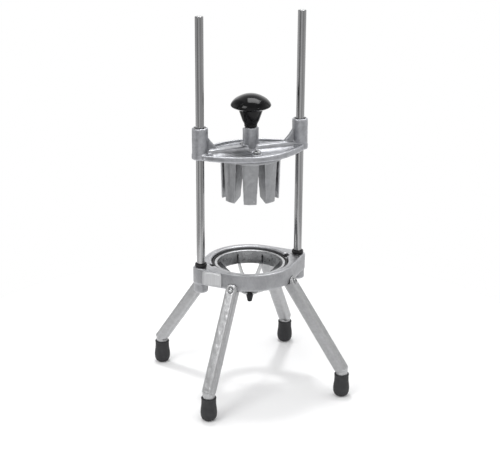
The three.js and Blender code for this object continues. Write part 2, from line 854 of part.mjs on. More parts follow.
function knob() {
  const hole = studRadius + gap;
  const holeTop = knobBottom + studReach;
  const crown = knobBottom + knobHeight;
  const flareTop = crown - knobCapHeight;
  const neckTop = knobBottom + knobNeckHeight;
  const [flareOut, flareUp] = knobFlareStart;
  return turned([
    [0, holeTop],
    [hole, holeTop],
    [hole, knobBottom],
    [knobNeckRadius, knobBottom],
    [knobNeckRadius, neckTop],
    [knobNeckRadius + flareOut, neckTop + flareUp],
    [knobFlareRadius, flareTop],
    ...knobCap.map(([across, up]) => [knobRadius * across, flareTop + knobCapHeight * up]),
    [0, crown],
  ], knobSegments);
}

function knobStud() {
  return chamferedCylinder(studRadius, postTop - studDepth, knobBottom + studReach - gap, studChamfer);
}

function namePlate() {
  const shape = roundedRectangle(namePlateWidth, namePlateHeight, namePlateCorner);
  const geometry = slab(shape, gap, gap + namePlateThickness, 0, ribDetail);
  const turn = Math.PI + cheekTurn;
  const middle = (rodX * Math.sin(cheekTurn)) / 2 + namePlateShift;
  const middleHeight = (baseTop + baseBottom) / 2;
  geometry.rotateX(Math.PI / 2);
  geometry.rotateZ(Math.PI / 2 + turn);
  const outward = new THREE.Vector2(Math.cos(turn), Math.sin(turn));
  const along = new THREE.Vector2(-outward.y, outward.x).multiplyScalar(-middle);
  const centre = outward.multiplyScalar(ringRadius).add(along);
  return geometry.translate(centre.x, centre.y, middleHeight);
}

// ---------------------------------------------------------------- materials and assembly

const castMatt = { color: 0x9c9d9e, roughness: 0.5, metalness: 0.9 };
const castBright = { color: 0xb4b6b9, roughness: 0.36, metalness: 0.95 };
const steel = { color: 0xb9bcc0, roughness: 0.22, metalness: 1 };
const screwSteel = { color: 0x8f9296, roughness: 0.3, metalness: 1 };
const hubSteel = { color: 0x4a4b4d, roughness: 0.4, metalness: 0.9 };
const rubber = { color: 0x2b2b2c, roughness: 0.85, metalness: 0 };
const footRubber = { color: 0x3a3a3b, roughness: 0.8, metalness: 0 };
const phenolic = { color: 0x101112, roughness: 0.18, metalness: 0 };
const bushingPlastic = { color: 0xd8d4c6, roughness: 0.5, metalness: 0 };
const satinPlate = { color: 0xc6c8ca, roughness: 0.42, metalness: 0.9 };

const wedger = new THREE.Group();

function place(name, geometry, finish) {
  const mesh = new THREE.Mesh(geometry, new THREE.MeshStandardMaterial(finish));
  mesh.name = name;
  wedger.add(mesh);
}

place('base_casting', baseCasting(), castMatt);
for (const [name, geometry] of legs()) {
  place(name, geometry, castMatt);
}
for (const [name, geometry] of legScrews()) {
  place(name, geometry, screwSteel);
}
for (const [name, geometry] of feet()) {
  place(name, geometry, footRubber);
}
for (const [name, side] of sides) {
  const x = side * rodX;
  place(`guide_rod_${name}`, at(guideRod(), x, 0), steel);
  place(`rod_screw_${name}`, at(rodScrew(), x, 0), screwSteel);
  place(`rod_bumper_${name}`, at(rodBumper(), x, 0), rubber);
  place(`guide_bushing_${name}`, at(guideBushing(), x, 0), bushingPlastic);
  place(`cartridge_screw_${name}`, at(cartridgeScrew(), side * cartridgeScrewX, 0), screwSteel);
}
place('blade_ring', bladeRing(), castBright);
eachWedge((angle, i) => place(`blade_${i + 1}`, turnedTo(blade(), angle), steel));
place('blade_hub', bladeHub(), hubSteel);
place('blade_gasket', bladeGasket(), rubber);
place('name_plate', namePlate(), satinPlate);
place('head_casting', headCasting(), castBright);
place('pusher_block', pusherBlock(), castBright);
place('pusher_screw_front', at(pusherScrew(), 0, -pusherScrewOffset), screwSteel);
place('pusher_screw_rear', at(pusherScrew(), 0, pusherScrewOffset), screwSteel);
place('knob', knob(), phenolic);
place('knob_stud', knobStud(), screwSteel);

export default wedger;
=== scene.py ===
import json
import math

import bmesh
import bpy
import numpy as np
from mathutils import Matrix, Vector


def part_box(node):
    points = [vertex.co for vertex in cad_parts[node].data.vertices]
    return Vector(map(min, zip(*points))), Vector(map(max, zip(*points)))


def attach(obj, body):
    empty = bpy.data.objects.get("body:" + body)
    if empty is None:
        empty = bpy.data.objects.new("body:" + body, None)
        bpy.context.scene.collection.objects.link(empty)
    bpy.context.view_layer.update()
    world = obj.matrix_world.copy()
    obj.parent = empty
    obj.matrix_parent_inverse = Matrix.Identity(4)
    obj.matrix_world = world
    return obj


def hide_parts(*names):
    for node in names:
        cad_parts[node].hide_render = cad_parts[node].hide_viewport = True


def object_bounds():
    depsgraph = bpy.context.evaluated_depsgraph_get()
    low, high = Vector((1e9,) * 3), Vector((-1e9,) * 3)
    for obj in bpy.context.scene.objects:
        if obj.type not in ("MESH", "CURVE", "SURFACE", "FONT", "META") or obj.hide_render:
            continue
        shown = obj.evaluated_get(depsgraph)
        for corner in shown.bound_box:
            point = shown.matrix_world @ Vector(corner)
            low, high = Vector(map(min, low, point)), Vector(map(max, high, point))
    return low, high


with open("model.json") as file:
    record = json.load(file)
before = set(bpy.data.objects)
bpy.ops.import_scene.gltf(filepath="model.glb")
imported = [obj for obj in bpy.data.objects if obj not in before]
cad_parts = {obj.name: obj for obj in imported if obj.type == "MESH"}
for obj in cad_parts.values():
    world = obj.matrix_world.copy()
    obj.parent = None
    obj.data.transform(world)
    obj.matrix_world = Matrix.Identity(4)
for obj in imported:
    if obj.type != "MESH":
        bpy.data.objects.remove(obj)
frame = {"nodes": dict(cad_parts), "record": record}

bl_info = {
    "name": "Bench wedger",
    "version": (1, 0, 0),
    "blender": (4, 5, 0),
    "location": "3D View > Sidebar > Wedger",
    "description": "Cast stand, blade cartridge and sliding pusher head of a fruit and vegetable wedger",
    "category": "Object",
}

CAD_BOX = [list(corner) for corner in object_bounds()]
CORNERS = ("front_left", "front_right", "rear_right", "rear_left")
SIDES = ("left", "right")
MM = 0.001
TURN = 2 * math.pi
WELD = 2e-6
CLEARANCE = 0.3 * MM
BLADES = 8
FIRST_CORNER = TURN / 8


# ---------------------------------------------------------------- sizes read from the frame

def low(node):
    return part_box(node)[0]


def high(node):
    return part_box(node)[1]


def centre(node):
    return (low(node) + high(node)) / 2


def half_width(node, axis=0):
    return (high(node)[axis] - low(node)[axis]) / 2


ROD_X = centre("guide_rod_right").x
ROD_RADIUS = half_width("guide_rod_right")
BASE_TOP = high("base_casting").z
RING_RADIUS = high("base_casting").y
EAR_RADIUS = high("base_casting").x - ROD_X
FOOT_RADIUS = centre("foot_rear_right").to_2d().length
RING_OUTER = high("blade_gasket").y
BLADE_RING_LOW = low("blade_ring").z


# ---------------------------------------------------------------- what a user may change

def length(name, description, default):
    return bpy.props.FloatProperty(
        name=name, description=description, default=default, unit="LENGTH", subtype="DISTANCE", precision=4
    )


def colour(name, description, default):
    return bpy.props.FloatVectorProperty(
        name=name, description=description, default=default, size=3, min=0, max=1, subtype="COLOR"
    )


def share(name, description, default):
    return bpy.props.FloatProperty(
        name=name, description=description, default=default, min=0, max=1, subtype="FACTOR"
    )


class WedgerSizes(bpy.types.PropertyGroup):
    """Sizes of the castings, the turned pieces and the blades."""

    cast_grain: length("Casting mesh", "Edge length of the castings' skin", 0.7 * MM)
    cast_waviness: length("Casting waviness", "Height of the castings' uneven skin", 0.045 * MM)
    opening_radius: length("Opening", "Radius of the opening in the base", RING_OUTER + CLEARANCE)
    boss_radius: length("Rod boss", "Radius of the bosses under the base's ears", 8.2 * MM)
    head_boss_radius: length("Guide boss", "Radius of the head's two guide bosses", 9 * MM)
    post_radius: length("Post", "Radius of the post under the knob", 6.6 * MM)
    leg_kink: length("Kink height", "Height of the bend above the table", 33 * MM)
    leg_top_inset: length("Leg top inset", "End of the leg's centre line inside the ring's wall", 11 * MM)
    leg_top_drop: length("Leg top drop", "End of the leg's centre line below the base's top", 7.5 * MM)
    leg_screw_distance: length("Leg screw", "Screw's place down the leg from its top end", 17.1 * MM)
    leg_half_width: length("Leg half width", "Half the width across the leg", 7 * MM)
    screw_recess: length("Screw recess", "Leg screw's seat below the leg's face", 1.6 * MM)
    blade_thickness: length("Blade", "Thickness of a blade", 1 * MM)
    blade_grind: length("Ground edge", "Height of the blade's ground edge", 3.2 * MM)


class WedgerFinishes(bpy.types.PropertyGroup):
    """Colours and roughness of the finishes."""

    cast: colour("Cast aluminium", "Base casting", (0.335, 0.338, 0.35))
    # The legs' tone is set lighter than the base's cast aluminium: partly their own tone, partly painted
    # light for the light they catch.
    leg: colour("Leg aluminium", "Legs", (0.4, 0.402, 0.408))
    bright: colour("Tumbled aluminium", "Head casting", (0.38, 0.386, 0.405))
    pusher: colour("Pusher aluminium", "Pusher block", (0.35, 0.355, 0.366))
    ring: colour("Machined aluminium", "Blade ring", (0.42, 0.424, 0.432))
    steel: colour("Bright steel", "Guide rods", (0.42, 0.42, 0.424))
    blade: colour("Blade steel", "Blades", (0.5, 0.505, 0.51))
    dark_steel: colour("Dark steel", "Hub and its tip", (0.035, 0.036, 0.038))
    screw: colour("Screw steel", "Screws and stud", (0.42, 0.425, 0.43))
    plate: colour("Name plate", "Blank satin plate", (0.64, 0.645, 0.655))
    phenolic: colour("Phenolic", "Knob", (0.004, 0.004, 0.0045))
    foot: colour("Foot rubber", "Boots", (0.028, 0.028, 0.03))
    seal: colour("Seal rubber", "Gasket and bumpers", (0.012, 0.012, 0.013))
    bushing: colour("Bushing plastic", "Guide bushings", (0.05, 0.05, 0.048))
    cast_roughness: share("Cast roughness", "Roughness of the base and legs", 0.38)
    bright_roughness: share("Head roughness", "Roughness of the head", 0.43)
    knob_gloss: share("Knob gloss", "Strength of the knob's reflections", 0.2)


# ---------------------------------------------------------------- finishes

class Nodes:
    """A node tree under construction, with short names for what is set up most often."""

    def __init__(self, tree):
        self.tree = tree

    def node(self, kind, **settings):
        made = self.tree.nodes.new(kind)
        for key, value in settings.items():
            setattr(made, key, value)
        return made

    def link(self, source, target):
        self.tree.links.new(source, target)

    def give(self, value, socket):
        """Feeds an input from another node's output, or sets it to a number or a colour."""
        if isinstance(value, bpy.types.NodeSocket):
            self.link(value, socket)
        elif hasattr(value, "__len__"):
            socket.default_value = (*value, 1)
        else:
            socket.default_value = value

    def maths(self, operation, *values):
        made = self.node("ShaderNodeMath", operation=operation)
        for socket, value in zip(made.inputs, values):
            self.give(value, socket)
        return made.outputs[0]

    def mix(self, factor, first, second, blend="MIX"):
        made = self.node("ShaderNodeMix", data_type="RGBA", blend_type=blend)
        for socket, value in ((0, factor), (6, first), (7, second)):
            self.give(value, made.inputs[socket])
        return made.outputs[2]

    def ramp(self, value, stops):
        """Turns 0..1 into colours or greys at the given stops."""
        made = self.node("ShaderNodeValToRGB")
        points = made.color_ramp.elements
        while len(points) < len(stops):
            points.new(0.5)
        for point, (position, shade) in zip(points, stops):
            point.position = position
            point.color = (*shade, 1) if hasattr(shade, "__len__") else (shade, shade, shade, 1)
        self.link(value, made.inputs["Fac"])
        return made.outputs["Color"]


class Finish(Nodes):
    """A material under construction."""

    def __init__(self, name):
        self.material = bpy.data.materials.new(name)
        self.material.use_nodes = True
        super().__init__(self.material.node_tree)
        self.shader = self.tree.nodes["Principled BSDF"]
        self.place = self.node("ShaderNodeTexCoord").outputs["Object"]

    def set(self, **values):
        for key, value in values.items():
            socket = self.shader.inputs[key.replace("_", " ")]
            socket.default_value = (*value, 1) if key == "Base_Color" else value

    def stretched(self, scale):
        """Object coordinates drawn out by a different factor on each axis."""
        mapping = self.node("ShaderNodeMapping")
        mapping.inputs["Scale"].default_value = scale
        self.link(self.place, mapping.inputs["Vector"])
        return mapping.outputs["Vector"]

    def noise(self, cell, detail=3, vector=None, distortion=0):
        """Noise whose lumps measure about `cell` metres."""
        made = self.node("ShaderNodeTexNoise")
        made.inputs["Scale"].default_value = 1 / cell
        made.inputs["Detail"].default_value = detail
        made.inputs["Distortion"].default_value = distortion
        self.link(vector or self.place, made.inputs["Vector"])
        return made.outputs["Fac"]

    def spread(self, value, lowest, highest):
        """Maps the middle of a noise onto a range."""
        made = self.node("ShaderNodeMapRange")
        made.inputs["From Min"].default_value = 0.3
        made.inputs["From Max"].default_value = 0.7
        made.inputs["To Min"].default_value = lowest
        made.inputs["To Max"].default_value = highest
        self.link(value, made.inputs["Value"])
        return made.outputs["Result"]

    def bump(self, value, depth, before=None):
        """Raises the surface by `value` times `depth` metres."""
        made = self.node("ShaderNodeBump")
        made.inputs["Distance"].default_value = depth
        self.link(value, made.inputs["Height"])
        if before is not None:
            self.link(before, made.inputs["Normal"])
        return made.outputs["Normal"]

    def edges(self):
        """Mask for the outer edges, where the skin is painted bright, partly as rubbed wear and partly as
        a painted highlight: white along outer edges, black in the hollows.
        """
        pointed = self.node("ShaderNodeNewGeometry").outputs["Pointiness"]
        return self.ramp(pointed, ((0.5, 0.0), (0.56, 1.0)))

    def colour(self, source):
        self.link(source, self.shader.inputs["Base Color"])

    def roughness(self, source):
        self.link(source, self.shader.inputs["Roughness"])

    def normal(self, source):
        self.link(source, self.shader.inputs["Normal"])


def shade_of(tone, factor):
    return tuple(min(1.0, part * factor) for part in tone)


def cast_metal(name, tone, rough, pit=0.45 * MM, depth=0.05 * MM, edge_wear_and_highlight=1.35, cloud=16 * MM, patchy=0.12):
    """Sand-cast aluminium with pits, cloudy patches and outer edges painted bright, partly as rubbed wear
    and partly as a painted highlight.

    `pit` and `cloud` are sizes, `depth` is the relief, the edge factor the brightness of the painted edge
    highlight and wear, and `patchy` the clouds' strength, both as shares of the tone.
    """
    finish = Finish(name)
    finish.set(Metallic=1.0)
    clouds = finish.noise(cloud, detail=5, distortion=0.6)
    grain = finish.noise(pit, detail=4)
    body = finish.ramp(clouds, ((0.3, shade_of(tone, 1 - patchy)), (0.7, shade_of(tone, 1 + patchy))))
    pits = finish.ramp(grain, ((0.28, 0.72), (0.46, 1.0)))
    skin = finish.mix(0.55, body, pits, "MULTIPLY")
    # Outer edges lightened by the pointiness mask: partly rubbed wear, partly a painted highlight.
    finish.colour(finish.mix(finish.edges(), skin, shade_of(tone, edge_wear_and_highlight)))
    smears = finish.noise(2.4 * MM, detail=4)
    finish.roughness(finish.spread(smears, rough - 0.08, rough + 0.1))
    lumps = finish.bump(finish.noise(3.2 * MM), depth * 1.6)
    finish.normal(finish.bump(grain, depth, lumps))
    return finish.material


def drawn_steel(name, tone, rough, streak=None):
    """Drawn or ground metal with fine lines along Z. `streak`, if given, is the size of broader ones."""
    finish = Finish(name)
    finish.set(Metallic=1.0)
    drawn_out = finish.stretched((1.0, 1.0, 0.012))
    lines = finish.noise(0.35 * MM, vector=drawn_out)
    stains = finish.noise(22 * MM)
    body = finish.ramp(lines, ((0.3, shade_of(tone, 0.84)), (0.7, shade_of(tone, 1.12))))
    if streak:
        broad = finish.noise(streak, detail=2, vector=drawn_out)
        streaks = finish.ramp(broad, ((0.36, 0.55), (0.58, 1.0)))
        body = finish.mix(0.8, body, streaks, "MULTIPLY")
    finish.colour(finish.mix(finish.spread(stains, 0.0, 0.3), body, shade_of(tone, 0.8)))
    finish.roughness(finish.spread(lines, rough - 0.05, rough + 0.08))
    finish.normal(finish.bump(lines, 0.012 * MM))
    return finish.material


def turned_metal(name, tone, rough):
    """Machined metal with a fine grain and dull spots."""
    finish = Finish(name)
    finish.set(Metallic=1.0)
    marks = finish.noise(0.25 * MM, detail=2)
    spots = finish.noise(3 * MM, detail=4)
    finish.colour(finish.ramp(spots, ((0.3, shade_of(tone, 0.75)), (0.7, shade_of(tone, 1.15)))))
    finish.roughness(finish.spread(spots, rough - 0.06, rough + 0.1))
    finish.normal(finish.bump(marks, 0.012 * MM))
    return finish.material


def moulded(name, tone, rough, cell, depth, gloss=0.5):
    """Moulded rubber or plastic, dusty, with a fine grain of the given size and depth."""
    finish = Finish(name)
    finish.set(Metallic=0.0, Specular_IOR_Level=gloss)
    dust = finish.noise(7 * MM, detail=5)
    grain = finish.noise(cell)
    finish.colour(finish.ramp(dust, ((0.35, shade_of(tone, 0.85)), (0.72, shade_of(tone, 1.35)))))
    finish.roughness(finish.spread(dust, rough - 0.04, rough + 0.06))
    finish.normal(finish.bump(grain, depth))
    return finish.material


def floor_paint():
    finish = Finish("pale_floor")
    finish.set(Metallic=0.0, Specular_IOR_Level=0.0, Roughness=0.9)
    patches = finish.noise(0.6, detail=2)
    finish.colour(finish.ramp(patches, ((0.3, 0.93), (0.7, 0.95))))
    return finish.material


def make_finishes():
    """All the finishes, by the name of their slot in the record. The legs' finish has no slot: it is a
    lighter copy of the cast aluminium, partly the legs' own tone and partly painted light.
    """
    given = bpy.context.scene.wedger_finishes
    rough = given.cast_roughness
    head_rough = given.bright_roughness
    # The edge factors in these grains, and the base's below, brighten the outer edges: partly wear, partly
    # a painted highlight.
    leg_grain = {"pit": 1.1 * MM, "depth": 0.05 * MM, "edge_wear_and_highlight": 1.6, "cloud": 5 * MM, "patchy": 0.09}
    head_grain = {"pit": 0.9 * MM, "depth": 0.014 * MM, "edge_wear_and_highlight": 1.6, "cloud": 7 * MM, "patchy": 0.15}
    pusher_grain = {"depth": 0.04 * MM, "cloud": 7 * MM, "patchy": 0.1}
    knob_grain = {"cell": 1.2 * MM, "depth": 0.002 * MM}
    bushing_grain = {"cell": 0.4 * MM, "depth": 0.01 * MM}
    boot_grain = {"cell": 0.35 * MM, "depth": 0.02 * MM}
    seal_grain = {"cell": 0.3 * MM, "depth": 0.012 * MM}
    return {
        "cast_aluminium": cast_metal("cast_aluminium_skin", given.cast, rough, edge_wear_and_highlight=1.8),
        # The legs take a lighter copy of the cast aluminium: partly their own tone, partly painted light.
        "leg_tone_and_painted_light": cast_metal("leg_tone_and_painted_light_skin", given.leg, rough, **leg_grain),
        "polished_aluminium": cast_metal("tumbled_aluminium_skin", given.bright, head_rough, **head_grain),
        "pusher_aluminium": cast_metal("pusher_aluminium_skin", given.pusher, rough=0.36, **pusher_grain),
        "ring_aluminium": turned_metal("machined_ring_aluminium", given.ring, rough=0.3),
        "rod_steel": drawn_steel("drawn_rod_steel", given.steel, rough=0.15, streak=2.4 * MM),
        "blade_steel": drawn_steel("ground_blade_steel", given.blade, rough=0.2),
        "hub_steel": turned_metal("dark_hub_steel", given.dark_steel, rough=0.45),
        "screw_steel": turned_metal("screw_head_steel", given.screw, rough=0.3),
        "plate_aluminium": drawn_steel("satin_plate", given.plate, rough=0.36),
        "knob_phenolic": moulded(
            "glossy_phenolic", given.phenolic, rough=0.1, gloss=given.knob_gloss, **knob_grain
        ),
        "bushing_plastic": moulded("bushing_plastic_skin", given.bushing, rough=0.5, **bushing_grain),
        "foot_rubber": moulded("boot_rubber", given.foot, rough=0.66, gloss=0.35, **boot_grain),
        "seal_rubber": moulded("seal_rubber_skin", given.seal, rough=0.55, gloss=0.4, **seal_grain),
    }


def finish_of(slot):
    """The material of a slot, made with all the others the first time that one is asked for."""
    made = bpy.context.scene.get("wedger_materials")
    if made is None:
        made = {key: material.name for key, material in make_finishes().items()}
        bpy.context.scene["wedger_materials"] = made
    return bpy.data.materials[made[slot]]


# ---------------------------------------------------------------- meshes

def body_of(node):
    bodies = frame["record"]["behaviour"]["bodies"]
    return next(body for body, nodes in bodies.items() if node in nodes)


def settle(piece, slot, nodes, finish=None):
    """Gives a piece the finish of its slot, or the finish given instead, hides the CAD nodes that it
    stands for and hangs it on the body that it rides on.
    """
    piece.data.materials.clear()
    piece.data.materials.append(finish_of(finish or slot))
    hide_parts(*nodes)
    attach(piece, body_of(nodes[0]))
    return piece


def linked(name, mesh):
    piece = bpy.data.objects.new(name, mesh)
    bpy.context.scene.collection.objects.link(piece)
    return piece


def evaluated(piece):
    """The piece's mesh with its modifiers worked in, which are then taken off."""
    graph = bpy.context.evaluated_depsgraph_get()
    mesh = bpy.data.meshes.new_from_object(piece.evaluated_get(graph), depsgraph=graph)
    piece.modifiers.clear()
    piece.data = mesh
    return mesh


def vectors(items, field):
    """A field of three numbers of each vertex or normal, as rows."""
    values = np.zeros(len(items) * 3)
    items.foreach_get(field, values)
    return values.reshape(-1, 3)


def write_back(mesh, points):
    mesh.vertices.foreach_set("co", points.ravel())
    mesh.update()


def finished(bm, name, smooth_angle=40):
    """A mesh from bmesh with welded seams, outward faces and smooth shading up to an angle."""
    bmesh.ops.remove_doubles(bm, verts=bm.verts, dist=WELD)
    bmesh.ops.recalc_face_normals(bm, faces=bm.faces)
    sharp = math.radians(smooth_angle)
    for face in bm.faces:
        face.smooth = True
    for edge in bm.edges:
        edge.smooth = len(edge.link_faces) == 2 and edge.calc_face_angle(0.0) < sharp
    mesh = bpy.data.meshes.new(name)
    bm.to_mesh(mesh)
    bm.free()
    return mesh


def hexagonal(angle):
    """Distance to a hexagon's side at an angle, as a multiple of the distance to its flats."""
    return 1 / math.cos((angle + math.pi / 6) % (math.pi / 3) - math.pi / 6)


def turned(profile, segments=64, hexagon=()):
    """A turned piece from (radius, height) points. The rings listed in `hexagon` are six-sided."""
    bm = bmesh.new()
    rings = []
    for index, (radius, height) in enumerate(profile):
        if radius < WELD:
            rings.append([bm.verts.new((0, 0, height))] * segments)
            continue
        ring = []
        for step in range(segments):
            angle = TURN * step / segments
            reach = radius * (hexagonal(angle) if index in hexagon else 1)
            ring.append(bm.verts.new((reach * math.cos(angle), reach * math.sin(angle), height)))
        rings.append(ring)
    for lower, upper in zip(rings, rings[1:]):
        for step in range(segments):
            after = (step + 1) % segments
            corners = (lower[step], lower[after], upper[after], upper[step])
            bm.faces.new(list(dict.fromkeys(corners)))
    return bm


def curve(start, middle, end, share):
    """A point on the curve from start to end that is drawn towards the middle."""
    return (1 - share) ** 2 * start + 2 * share * (1 - share) * middle + share * share * end


def eased(profile, radius, steps=4):
    """The same profile with every corner rounded off, less where a side is short."""
    points = [Vector(point) for point in profile]
    closed = (points[0] - points[-1]).length < WELD
    if closed:
        points.pop()
    made = []
    for index, point in enumerate(points):
        at_end = not closed and index in (0, len(points) - 1)
        if at_end:
            made.append(tuple(point))
            continue
        before = points[index - 1] - point
        after = points[(index + 1) % len(points)] - point
        cut = min(radius, 0.48 * before.length, 0.48 * after.length)
        start = point + before.normalized() * cut
        end = point + after.normalized() * cut
        for step in range(steps + 1):
            made.append(tuple(curve(start, point, end, step / steps)))
    if closed:
        made.append(made[0])
    return made


def waves(points, size, seed):
    """A smooth uneven field of about unit height, its lumps `size` metres across."""
    draw = np.random.default_rng(seed)
    total = np.zeros(len(points))
    count = 14
    for _ in range(count):
        way = draw.normal(size=3)
        way *= draw.uniform(0.7, 1.4) / np.linalg.norm(way)
        total += np.sin(points @ way * (TURN / size) + draw.uniform(0, TURN))
    return total / math.sqrt(count)


def trued(points, rounds):
    """Moves points that lie almost on a round wall onto it: rounds are (x, y, radius, low, high)."""
    near = 0.22 * MM
    for x, y, radius, bottom, top in rounds:
        offset = points[:, :2] - (x, y)
        reach = np.linalg.norm(offset, axis=1)
        picked = (abs(reach - radius) < near) & (points[:, 2] > bottom) & (points[:, 2] < top)
        points[picked, :2] = offset[picked] * (radius / reach[picked])[:, None] + (x, y)
    return points


def cast_skin(piece, grain, rounds=(), smoothing=8, waviness=0.0, seed=1):
    """Turns a closed mesh into an even skin of small faces, with rounded edges and a cast surface."""
    remesh = piece.modifiers.new("skin", "REMESH")
    remesh.mode = "VOXEL"
    remesh.voxel_size = grain
    mesh = evaluated(piece)
    write_back(mesh, trued(vectors(mesh.vertices, "co"), rounds))
    smooth = piece.modifiers.new("soft_edges", "SMOOTH")
    smooth.factor = 0.5
    smooth.iterations = smoothing
    mesh = evaluated(piece)
    points = vectors(mesh.vertices, "co")
    normals = vectors(mesh.vertex_normals, "vector")
    broad = waves(points, 9 * MM, seed)
    fine = waves(points, 4 * MM, seed + 50)
    relief = waviness * (broad + 0.6 * fine)
    write_back(mesh, points + normals * relief[:, None])
    mesh.polygons.foreach_set("use_smooth", [True] * len(mesh.polygons))
    return piece


def copy_of(node, name):
    """A welded copy of a CAD node's mesh, as a new object."""
    bm = bmesh.new()
    bm.from_mesh(frame["nodes"][node].data)
    bmesh.ops.remove_doubles(bm, verts=bm.verts, dist=WELD)
    mesh = bpy.data.meshes.new(name)
    bm.to_mesh(mesh)
    bm.free()
    return linked(name, mesh)


# ---------------------------------------------------------------- copies in a ring

def ring_of_copies():
    """Geometry Nodes that set a piece round the Z axis: how many, how far out and from which angle."""
    tree = bpy.data.node_groups.get("Ring of copies")
    if tree:
        return tree
    tree = bpy.data.node_groups.new("Ring of copies", "GeometryNodeTree")
    sockets = (
        ("Piece", "INPUT", "NodeSocketGeometry", None),
        ("Count", "INPUT", "NodeSocketInt", 2),
        ("Radius", "INPUT", "NodeSocketFloat", 0.0),
        ("First angle", "INPUT", "NodeSocketFloat", 0.0),
        ("Height", "INPUT", "NodeSocketFloat", 0.0),
        ("Finish", "INPUT", "NodeSocketMaterial", None),
        ("Copies", "OUTPUT", "NodeSocketGeometry", None),
    )
    for name, way, kind, default in sockets:
        socket = tree.interface.new_socket(name, in_out=way, socket_type=kind)
        if default is not None:
            socket.default_value = default

    nodes = Nodes(tree)
    given = nodes.node("NodeGroupInput").outputs
    step = nodes.maths("DIVIDE", TURN, given["Count"])
    index = nodes.node("GeometryNodeInputIndex").outputs[0]
    angle = nodes.maths("MULTIPLY_ADD", index, step, given["First angle"])
    place = nodes.node("ShaderNodeCombineXYZ")
    nodes.link(nodes.maths("MULTIPLY", nodes.maths("COSINE", angle), given["Radius"]), place.inputs["X"])
    nodes.link(nodes.maths("MULTIPLY", nodes.maths("SINE", angle), given["Radius"]), place.inputs["Y"])
    nodes.link(given["Height"], place.inputs["Z"])
    points = nodes.node("GeometryNodePoints")
    nodes.link(given["Count"], points.inputs["Count"])
    nodes.link(place.outputs[0], points.inputs["Position"])
    turn = nodes.node("FunctionNodeAxisAngleToRotation")
    turn.inputs["Axis"].default_value = (0, 0, 1)
    nodes.link(angle, turn.inputs["Angle"])
    copies = nodes.node("GeometryNodeInstanceOnPoints")
    nodes.link(points.outputs[0], copies.inputs["Points"])
    nodes.link(given["Piece"], copies.inputs["Instance"])
    nodes.link(turn.outputs[0], copies.inputs["Rotation"])
    real = nodes.node("GeometryNodeRealizeInstances")
    nodes.link(copies.outputs[0], real.inputs["Geometry"])
    coat = nodes.node("GeometryNodeSetMaterial")
    nodes.link(real.outputs[0], coat.inputs["Geometry"])
    nodes.link(given["Finish"], coat.inputs["Material"])
    nodes.link(coat.outputs[0], nodes.node("NodeGroupOutput").inputs["Copies"])
    return tree


def set_round(piece, slot, **values):
    """Repeats a piece by the ring-of-copies nodes and turns the result into a plain mesh."""
    tree = ring_of_copies()
    inputs = [socket for socket in tree.interface.items_tree if socket.in_out == "INPUT"]
    names = {socket.name: socket.identifier for socket in inputs}
    modifier = piece.modifiers.new("copies", "NODES")
    modifier.node_group = tree
    modifier[names["Finish"]] = finish_of(slot)
    for key, value in values.items():
        modifier[names[key.replace("_", " ")]] = value
    evaluated(piece)
    return piece


def repeated(name, mesh, slot, nodes, **values):
    """One piece per body made of equal copies, standing for the nodes of those copies."""
    return settle(set_round(linked(name, mesh), slot, **values), slot, nodes)


def of_each(stem, endings):
    return [f"{stem}_{ending}" for ending in endings]


# ---------------------------------------------------------------- operators: stand

class WEDGER_OT_base(bpy.types.Operator):
    """Cast base: ring, ears, rod bosses and leg lugs in one skin with rounded edges."""

    bl_idname = "wedger.base"
    bl_label = "Cast base"

    def execute(self, context):
        sizes = context.scene.wedger_sizes
        piece = copy_of("base_casting", "cast_base")
        bottom = low("base_casting").z
        ledge = low("cartridge_screw_right").z
        opening_chamfer = 1.2 * MM
        ledge_width = 3.5 * MM
        rounds = [
            (0, 0, RING_RADIUS, bottom, BASE_TOP),
            (0, 0, sizes.opening_radius, ledge, BASE_TOP),
            (0, 0, sizes.opening_radius + opening_chamfer, ledge, BASE_TOP),
            (0, 0, sizes.opening_radius - ledge_width, bottom, BASE_TOP),
        ]
        for x in (-ROD_X, ROD_X):
            rounds.append((x, 0, EAR_RADIUS, bottom, BASE_TOP))
            rounds.append((x, 0, sizes.boss_radius, bottom, BASE_TOP))
            rounds.append((x, 0, ROD_RADIUS + CLEARANCE, bottom, BASE_TOP))
        cast_skin(piece, sizes.cast_grain, rounds, 7, sizes.cast_waviness, seed=3)
        settle(piece, "cast_aluminium", ["base_casting"])
        return {"FINISHED"}


class WEDGER_OT_legs(bpy.types.Operator):
    """Four cast legs with rounded corners, fitted round the base, and their socket screws."""

    bl_idname = "wedger.legs"
    bl_label = "Legs"

    def execute(self, context):
        sizes = context.scene.wedger_sizes
        for index, corner in enumerate(CORNERS):
            piece = copy_of(f"leg_{corner}", f"leg_tone_and_painted_light_{corner}")
            cast_skin(piece, sizes.cast_grain, (), 9, sizes.cast_waviness, seed=11 + index)
            # The legs' finish is a lighter copy of the cast aluminium, partly painted light.
            settle(piece, "cast_aluminium", [f"leg_{corner}"], "leg_tone_and_painted_light")
        kink = Vector((FOOT_RADIUS, sizes.leg_kink))
        top = Vector((RING_RADIUS - sizes.leg_top_inset, BASE_TOP - sizes.leg_top_drop))
        run = (top - kink).normalized()
        outward = Vector((run.y, -run.x))
        seat_height = sizes.leg_half_width - sizes.screw_recess + CLEARANCE
        seat = top - run * sizes.leg_screw_distance + outward * seat_height
        mesh = socket_screw(shank=2 * MM, head=3.2 * MM, head_height=2.4 * MM, reach=8.2 * MM)
        tilt = math.atan2(outward.x, outward.y)
        mesh.transform(Matrix.Translation((seat.x, 0, seat.y)) @ Matrix.Rotation(tilt, 4, "Y"))
        nodes = of_each("leg_screw", CORNERS)
        repeated("leg_screws", mesh, "screw_steel", nodes, Count=len(nodes), First_angle=FIRST_CORNER)
        return {"FINISHED"}


